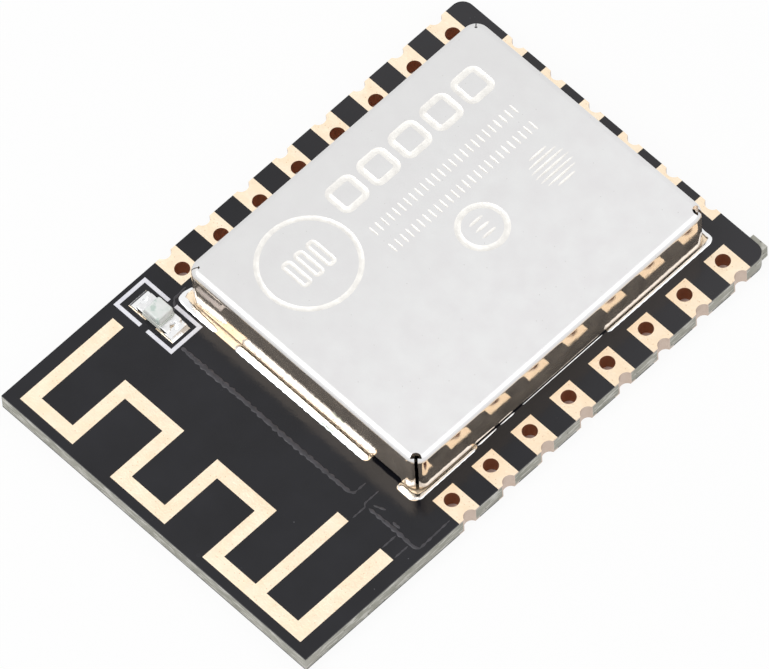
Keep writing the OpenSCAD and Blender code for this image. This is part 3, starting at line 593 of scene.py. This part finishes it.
def pick(piece, kind, wanted):
    """Enters edit mode with the elements selected whose points all pass a test."""
    only(piece)
    mesh = piece.data
    bpy.ops.object.mode_set(mode="EDIT")
    bpy.ops.mesh.select_mode(type=kind)
    bpy.ops.mesh.select_all(action="DESELECT")
    bpy.ops.object.mode_set(mode="OBJECT")
    items = {"VERT": mesh.vertices, "EDGE": mesh.edges, "FACE": mesh.polygons}[kind]
    for item in items:
        corners = [item.index] if kind == "VERT" else item.vertices
        item.select = wanted([mesh.vertices[i].co for i in corners])
    bpy.ops.object.mode_set(mode="EDIT")


def apply_modifier(piece, kind, **settings):
    """Adds a modifier, sets it and applies it at once."""
    only(piece)
    modifier = piece.modifiers.new(kind.lower(), kind)
    for name, value in settings.items():
        setattr(modifier, name, value)
    bpy.ops.object.modifier_apply(modifier=modifier.name)


def block(name, low, high):
    """A box between two corners, in millimetres."""
    size = [b - a for a, b in zip(low, high)]
    bpy.ops.mesh.primitive_cube_add(size=1, location=[(a + b) / 2 for a, b in zip(low, high)])
    piece = bpy.context.object
    piece.name = name
    piece.scale = size
    bpy.ops.object.transform_apply(location=True, rotation=True, scale=True)
    return piece


def hand_in(piece, slot, replaces=()):
    """Brings a piece to metres, gives it its finish and lets it ride."""
    only(piece)
    bpy.ops.object.transform_apply(location=True, rotation=True, scale=True)
    piece.scale = (MM, MM, MM)
    bpy.ops.object.transform_apply(location=True, rotation=True, scale=True)
    if not piece.data.materials:
        piece.data.materials.append(finishes[slot])
    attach(piece, "root")
    if replaces:
        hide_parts(*replaces)
    piece.data.calc_loop_triangles()
    print(piece.name, len(piece.data.loop_triangles), "triangles")
    return piece


def box_mm(node):
    low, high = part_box(node)
    return [c / MM for c in low], [c / MM for c in high]


# %% [markdown]
# ## The shield can
#
# The can is one sheet of tinned steel, 0.2 mm thick. The press bends its four
# walls down and curls their ends towards each other, and the corners are left
# open: a half-round relief starts each seam, so that the roof doesn't tear.
# It could be folded from a flat blank, one bend after another, but a box gets
# to the same shape in fewer steps: its four upright edges are rounded, then its
# rim, and then it loses its bottom and grows a wall inwards.

# %% Sheet
SHEET = 0.2
CORNER = 0.6
BEND = 0.3
can_low, can_high = box_mm("shield_can")
foot, roof = can_low[2], can_high[2]
can = block("shield_can_pressed", can_low, can_high)
pick(can, "EDGE", lambda p: abs(p[0].z - p[1].z) > 1)
bpy.ops.mesh.bevel(offset=CORNER, segments=14, affect="EDGES", clamp_overlap=False)
bpy.ops.object.mode_set(mode="OBJECT")
pick(can, "EDGE", lambda p: all(abs(q.z - roof) < 1e-4 for q in p))
bpy.ops.mesh.bevel(offset=BEND, segments=10, affect="EDGES", clamp_overlap=False)
bpy.ops.object.mode_set(mode="OBJECT")
pick(can, "FACE", lambda p: all(abs(q.z - foot) < 1e-4 for q in p))
bpy.ops.mesh.delete(type="FACE")
bpy.ops.object.mode_set(mode="OBJECT")
apply_modifier(can, "SOLIDIFY", thickness=SHEET, offset=-1, use_even_offset=True)
print("sheet:", len(can.data.polygons), "faces", [round(d, 2) for d in can.dimensions])

# %% [markdown]
# The seams, the reliefs and the arch over the antenna's feed are cut with
# tools. The two seams on the -X side gape, and the other two closed up in the
# press until only a pinhole was left.

# %% Seam tools
middle_y = (can_low[1] + can_high[1]) / 2


def seam_tools(turn, gap, radius, from_edge):
    """A saw for one corner's seam and a punch for its relief."""
    axis = Vector((math.copysign(can_high[0] - CORNER, math.cos(turn)),
                   middle_y + math.copysign((can_high[1] - can_low[1]) / 2 - CORNER,
                                            math.sin(turn)), 0))
    flat = CORNER - from_edge
    saw = block("saw", (0, -gap / 2, foot - 1), (CORNER + 1, gap / 2, roof - BEND))
    short_saw = block("short_saw", (flat - radius / 2, -gap / 2, roof - BEND - SHEET / 2),
                      (CORNER + 1, gap / 2, roof + 1))
    bpy.ops.mesh.primitive_cylinder_add(vertices=48, radius=radius, depth=1.2,
                                        location=(flat, 0, roof - BEND + 0.6))
    punch = bpy.context.object
    bpy.ops.object.transform_apply(location=True)
    bpy.ops.object.mode_set(mode="EDIT")
    bpy.ops.mesh.select_all(action="SELECT")
    bpy.ops.mesh.bisect(plane_co=(flat, 0, 0), plane_no=(1, 0, 0), use_fill=True, clear_outer=True)
    bpy.ops.object.mode_set(mode="OBJECT")
    tools = [saw, short_saw, punch]
    for tool in tools:
        tool.rotation_euler.z = turn
        tool.location = axis
        only(tool)
        bpy.ops.object.transform_apply(location=True, rotation=True)
    return tools


def cut(piece, tools, solver="EXACT"):
    """Subtracts each tool in turn, then removes it."""
    for tool in tools:
        apply_modifier(piece, "BOOLEAN", operation="DIFFERENCE", object=tool, solver=solver)
        bpy.data.objects.remove(tool)


for corner in (135, 225):
    cut(can, seam_tools(math.radians(corner), gap=0.13, radius=0.21, from_edge=0.12))
for corner in (45, 315):
    cut(can, seam_tools(math.radians(corner), gap=0.04, radius=0.06, from_edge=0.27))
front = can_high[1]
ARCH_X = (-5.15, -3.65)
ARCH_HIGH = 0.17
arch = block("arch", (ARCH_X[0], front - 1, foot - 1), (ARCH_X[1], front + 1, foot + ARCH_HIGH))
pick(arch, "EDGE", lambda p: all(q.z > foot for q in p) and abs(p[0].y - p[1].y) > 1)
bpy.ops.mesh.bevel(offset=0.1, segments=6, affect="EDGES")
bpy.ops.object.mode_set(mode="OBJECT")
cut(can, [arch])
print("after the seams:", len(can.data.polygons), "faces")

# %% [markdown]
# ### Marks pressed into the roof
#
# Cans of this kind carry rows of shallow marks. These are plain ones: a wide
# ring with three equal bars in it, a row of blank squares, two rows of ticks, a
# small ring and a hatched disc. A mark is a track that a round punch leaves, so the
# tool for it is a tube, and the track's outline is drawn as a flat shape first.
# The tube only dips into the sheet. A wide tube leaves a soft trough and a
# thin one a fine line. A corner much tighter than its tube folds the tube over
# itself, and a cut with such a tool can lose the whole can, so the last cell
# measures the can and stops if it has.

# %% Track tools
can.data.materials.append(finishes["tin_plate"])
tracks = []


def tube(outline, radius, dip):
    """Turns a flat outline into a closed tube that dips into the roof."""
    only(outline)
    bpy.ops.object.transform_apply(location=True, rotation=True, scale=True)
    bpy.ops.object.convert(target="CURVE")
    outline.data.bevel_depth = radius
    outline.data.bevel_resolution = 10
    outline.location.z = roof + radius - dip
    bpy.ops.object.convert(target="MESH")
    bpy.ops.object.transform_apply(location=True)
    tracks.append(outline)


def ring(x, y, radius, wide, dip):
    bpy.ops.mesh.primitive_circle_add(vertices=72, radius=radius, location=(x, y, 0))
    tube(bpy.context.object, wide, dip)


def box_track(x0, y0, x1, y1, corner, wide, dip):
    bpy.ops.mesh.primitive_plane_add(size=1, location=((x0 + x1) / 2, (y0 + y1) / 2, 0))
    outline = bpy.context.object
    outline.scale = (x1 - x0, y1 - y0, 1)
    bpy.ops.object.transform_apply(location=True, scale=True)
    bpy.ops.object.mode_set(mode="EDIT")
    bpy.ops.mesh.select_all(action="SELECT")
    bpy.ops.mesh.bevel(offset=corner, segments=6, affect="VERTICES")
    bpy.ops.mesh.select_all(action="SELECT")
    bpy.ops.mesh.delete(type="ONLY_FACE")
    bpy.ops.object.mode_set(mode="OBJECT")
    tube(outline, wide, dip)


def tick(x, y, length, width, turn, dip=0.028):
    """A short dent with round ends, from a ball stretched along it."""
    bpy.ops.mesh.primitive_uv_sphere_add(segments=20, ring_count=14, radius=1)
    dent = bpy.context.object
    dent.scale = (width / 1.2, length / 1.2, dip * 5)
    dent.rotation_euler.z = turn
    dent.location = (x, y, roof + dip * 4)
    bpy.ops.object.transform_apply(location=True, rotation=True, scale=True)
    tracks.append(dent)


# %% Ring, bars and squares
RING_X = 2.85
RING_DOWN = 3.3            # from the can's front wall to the ring's middle
ring(RING_X, front - RING_DOWN, 1.93, 0.22, 0.028)
for step in range(3):
    y = front - 2.68 - step * 0.62
    box_track(RING_X - 0.6, y - 0.16, RING_X + 0.6, y + 0.16, 0.12, 0.16, 0.025)
for step in range(5):
    y = front - 6.35 - step * 1.62
    box_track(3.4, y - 0.55, 4.5, y + 0.55, 0.24, 0.36, 0.032)
print("tracks:", len(tracks))

# %% Ticks, small ring and hatched disc
ALONG = math.radians(90)
for middle in (2.12, 1.12):
    for step in range(26):
        tick(middle, front - 5.9 - step * 0.29, 0.5, 0.1, ALONG)
SMALL_X = -0.6             # the small ring and the disc lie in one line
ring(SMALL_X, front - 8.8, 0.92, 0.3, 0.03)
for side in (-0.35, 0, 0.35):
    tick(SMALL_X + side, front - 8.8, 0.7, 0.14, 0)
STROKES = 7
for step in range(STROKES):
    across = (step - STROKES // 2) / (STROKES / 2)
    tick(SMALL_X + 0.88 * across, front - 12.4, 1.75 * math.sqrt(1 - across ** 2), 0.11, 0)
print("tracks and dents:", len(tracks))

# %% Press the marks
only(*tracks)
bpy.ops.object.join()
marks = bpy.context.object
marks.data.materials.clear()
marks.data.materials.append(finishes["pressed_tin"])
apply_modifier(can, "BOOLEAN", operation="DIFFERENCE", object=marks, solver="EXACT",
               material_mode="TRANSFER")
bpy.data.objects.remove(marks)
print("can with its marks:", len(can.data.polygons), "faces")
misfit = [round(can.dimensions[i] - (can_high[i] - can_low[i]), 3) for i in range(3)]
roof_area = sum(face.area for face in can.data.polygons
                if face.normal.z > 0.99 and face.center.z > roof - 0.01)
print("can's sides against the frame, in mm:", misfit, "roof in mm2:", round(roof_area, 1))
LEAST_ROOF = 100           # mm2, well under the real roof
if any(abs(gap) > 0.01 for gap in misfit) or roof_area < LEAST_ROOF:
    raise RuntimeError("the cut lost the can: a track's corner is tighter than its tube allows")

# %% [markdown]
# The shading comes last. Doubles left by the cuts are merged, the bends are
# shaded smooth, and the weighted normals keep the roof flat. The edges of the
# cuts stay crisp. A fine bevel on them would be a further step, left out here.

# %% Shade the can
only(can)
bpy.ops.object.mode_set(mode="EDIT")
bpy.ops.mesh.select_all(action="SELECT")
bpy.ops.mesh.remove_doubles(threshold=0.0005)
bpy.ops.object.mode_set(mode="OBJECT")
bpy.ops.object.shade_smooth_by_angle(angle=math.radians(14))
apply_modifier(can, "WEIGHTED_NORMAL", keep_sharp=True, weight=90)
hand_in(can, "tin_plate", replaces=("shield_can",))


# %% [markdown]
# ## Solder round the can's foot
#
# Molten solder wets the gold land and the tin, and stops with a round front
# wherever either ends. It lies as a low pillow, never as a slab. A block with
# bevelled edges would keep its straight sides, so each run is a curve whose
# points carry their own radius, filled out to a tube and then pressed flat.
# The same tool lays the ridges of lacquer later on.

# %% Bead tool
COPPER_AND_MASK = 0.06     # mm of copper and lacquer over the board's core
board_top = box_mm("substrate")[1][2] + COPPER_AND_MASK


def stations(corners, spacing):
    """Points at even steps along a path of (x, y, half width) corners."""
    made = [corners[0]]
    for a, b in zip(corners, corners[1:]):
        count = max(1, round(math.dist(a[:2], b[:2]) / spacing))
        for step in range(1, count + 1):
            made.append(tuple(p + (q - p) * step / count for p, q in zip(a, b)))
    return made


def bead(corners, rise, seed, wander=0.12, spacing=0.1):
    """A low pillow along a path, with round ends and a width that wanders."""
    bpy.ops.curve.primitive_nurbs_path_add()
    path = bpy.context.object
    line = path.data.splines[0]
    points = stations(corners, spacing)
    line.points.add(len(points) - len(line.points))
    for step, (x, y, half) in enumerate(points):
        to_end = min(step, len(points) - 1 - step) * spacing / half
        blunt = math.sqrt(max(0.03, 1 - max(0, 1 - to_end) ** 2))
        sway = 0.6 * math.sin(1.7 * step + seed) + 0.4 * math.sin(4.1 * step + 2 * seed)
        shift = 0.3 * wander * half * math.sin(2.3 * step + 3 * seed)
        line.points[step].co = (x + shift, y + shift, 0, 1)
        line.points[step].radius = half * blunt * (1 + wander * sway)
    line.order_u = 3
    line.use_endpoint_u = True
    path.data.resolution_u = 2
    path.data.bevel_depth = 1
    path.data.bevel_resolution = 4
    path.data.use_fill_caps = True
    only(path)
    bpy.ops.object.convert(target="MESH")
    path.scale.z = rise / max(corner[2] for corner in corners)
    path.location.z = board_top
    bpy.ops.object.transform_apply(location=True, rotation=True, scale=True)
    return path


def gather(name, pieces):
    """Joins pieces to one object with a name."""
    only(*pieces)
    bpy.ops.object.join()
    bpy.context.object.name = name
    bpy.ops.object.shade_smooth()
    return bpy.context.object


print("board top at mm:", round(board_top, 3))

# %% Solder runs
left, right = can_low[0], can_high[0]
back_y = can_low[1]
# each run is its corners (x, y, half width) and how high it stands, in mm
runs = [
    ([(-3.62, front + 0.18, 0.17), (-1.2, front + 0.18, 0.165), (3.25, front + 0.18, 0.175)],
     0.035),
    ([(4.15, front + 0.24, 0.11), (5.0, front + 0.22, 0.14), (5.7, front + 0.19, 0.17),
      (6.1, front + 0.14, 0.16), (6.18, front - 0.1, 0.09), (6.12, front - 0.5, 0.06)], 0.04),
    ([(-5.15, front + 0.17, 0.14), (-5.85, front + 0.17, 0.15), (-6.08, front - 0.02, 0.12),
      (-6.1, front - 0.4, 0.085), (-6.09, 1.5, 0.08)], 0.04),
    ([(-6.06, 1.38, 0.06), (-6.05, 0.8, 0.045), (-6.05, 0.35, 0.03)], 0.03),
    ([(-6.04, 0.2, 0.03), (-6.04, -0.55, 0.045)], 0.03),
    ([(-6.03, -0.95, 0.02), (-6.03, -3.2, 0.03), (-6.03, -5.1, 0.03)], 0.025),
    ([(left - 0.08, -5.3, 0.085), (left - 0.08, back_y + 0.12, 0.1), (left, back_y - 0.06, 0.1),
      (left + 0.9, back_y - 0.08, 0.08)], 0.045),
    ([(right + 0.08, -5.3, 0.085), (right + 0.08, back_y + 0.12, 0.1), (right, back_y - 0.06, 0.1),
      (right - 0.9, back_y - 0.08, 0.08)], 0.045),
    ([(right + 0.08, 1.5, 0.08), (right + 0.09, front - 0.6, 0.085)], 0.04),
    ([(-3.4, back_y - 0.08, 0.08), (3.4, back_y - 0.08, 0.085)], 0.04)]
beads = [bead(corners, rise, seed) for seed, (corners, rise) in enumerate(runs)]
hand_in(gather("solder_runs", beads), "solder", replaces=("shield_solder",))

# %% [markdown]
# ## Ridges in the lacquer
#
# The black lacquer is thin. Over the edge of the copper beneath it, it heaps
# up to a low wavy ridge, painted greyer than the rest as painted highlight. The
# ridges tell where the ground copper ends, beside the antenna and along its feed.

# %% Lacquer ridges
edge_y = 5.975
ridges = [
    [(-7.55, edge_y - 1.75, 0.04), (-7.6, edge_y - 0.1, 0.05), (-7.4, edge_y, 0.07),
     (-6.4, edge_y - 0.03, 0.09), (-5.05, edge_y, 0.06)],
    [(-4.25, edge_y - 0.75, 0.05), (-4.25, edge_y - 0.1, 0.05), (-4.1, edge_y, 0.08),
     (-1.0, edge_y + 0.02, 0.11), (1.5, edge_y - 0.02, 0.09), (3.2, edge_y + 0.02, 0.12),
     (4.65, edge_y, 0.07)],
    [(-7.22, edge_y + 0.85, 0.03), (-7.22, edge_y + 0.1, 0.04)],
    [(-6.6, edge_y + 0.85, 0.03), (-6.6, edge_y + 0.1, 0.04)],
    [(-4.95, edge_y + 0.7, 0.03), (-4.95, edge_y + 0.05, 0.035), (-4.83, edge_y - 0.05, 0.035),
     (-4.83, edge_y - 0.8, 0.03)],
    [(-5.6, edge_y - 0.4, 0.05), (-5.1, edge_y - 0.2, 0.05)],
    [(-6.5, edge_y - 0.2, 0.07), (-6.1, edge_y - 0.2, 0.07)],
    [(5.9, 5.1, 0.04), (6.3, 4.72, 0.045), (6.35, 4.05, 0.04)]]
made = [bead(corners, 0.018, seed + 20, wander=0.5) for seed, corners in enumerate(ridges)]
ridge_piece = gather("lacquer_ridges", made)
# Painted highlight: the ridges get the greyer lacquer.
ridge_piece.data.materials.append(finishes["lacquer_ridge_highlight"])
hand_in(ridge_piece, "solder_mask")

# %% [markdown]
# ## The light
#
# The light is a chip on a small white board with a metal cap at each end and a
# block of milky resin on top. The caps have half-round notches, where solder
# climbs. The resin is moulded with drafted ends and worn, rounded edges, so it
# is a block with its top drawn in and every edge bevelled.

# %% Resin block
resin_low, resin_high = box_mm("led_lens")
base_top = box_mm("led_base")[1][2]
cap_low, cap_high = box_mm("led_terminals")
lens = block("light_resin", (resin_low[0] + 0.16, resin_low[1], base_top),
             (resin_high[0] - 0.16, resin_high[1], resin_high[2]))
pick(lens, "FACE", lambda p: all(abs(q.z - resin_high[2]) < 1e-4 for q in p))
bpy.ops.transform.resize(value=(0.88, 0.97, 1))
bpy.ops.object.mode_set(mode="OBJECT")
apply_modifier(lens, "BEVEL", width=0.07, segments=5)
bpy.ops.object.shade_smooth_by_angle(angle=math.radians(50))
hand_in(lens, "led_resin", replaces=("led_lens",))

# %% Metal caps
CAP_LONG = 0.34
cap_middle = (cap_low[1] + cap_high[1]) / 2
caps = []
for side in (-1, 1):
    end = cap_high[0] if side > 0 else cap_low[0]
    inner = end - side * CAP_LONG
    cap = block("cap", (min(end, inner), cap_low[1], cap_low[2]),
                (max(end, inner), cap_high[1], cap_high[2]))
    bpy.ops.mesh.primitive_cylinder_add(vertices=40, radius=0.16, depth=2,
                                        location=(end, cap_middle, 1))
    cut(cap, [bpy.context.object])
    apply_modifier(cap, "BEVEL", width=0.018, segments=3, limit_method="ANGLE",
                   angle_limit=math.radians(50))
    caps.append(cap)
only(*caps)
bpy.ops.object.join()
bpy.context.object.name = "light_caps"
bpy.ops.object.shade_smooth_by_angle(angle=math.radians(35))
hand_in(bpy.context.object, "terminal_metal", replaces=("led_terminals",))

# %% [markdown]
# The solder at each cap is a concave fillet. A bevel with a low profile value
# curves inwards instead of outwards, which is that shape exactly.

# %% Fillets
TOE = 0.36
fillets = []
for side in (-1, 1):
    end = cap_high[0] if side > 0 else cap_low[0]
    out = end + side * TOE
    fillet = block("fillet", (min(end - side * 0.1, out), cap_low[1] - 0.03, board_top - 0.02),
                   (max(end - side * 0.1, out), cap_high[1] + 0.03, board_top + 0.15))
    pick(fillet, "EDGE", lambda p: all(abs(q.x - out) < 1e-4 and q.z > board_top for q in p))
    bpy.ops.mesh.bevel(offset=0.14, segments=8, profile=0.2, affect="EDGES")
    bpy.ops.object.mode_set(mode="OBJECT")
    bpy.ops.mesh.primitive_cylinder_add(vertices=32, radius=0.13, depth=0.6,
                                        location=(end, cap_middle, board_top + 0.38))
    cut(fillet, [bpy.context.object])
    apply_modifier(fillet, "BEVEL", width=0.02, segments=3, limit_method="ANGLE",
                   angle_limit=math.radians(50))
    fillets.append(fillet)
only(*fillets)
bpy.ops.object.join()
bpy.context.object.name = "light_fillets"
bpy.ops.object.shade_smooth_by_angle(angle=math.radians(45))
hand_in(bpy.context.object, "solder", replaces=("led_solder",))
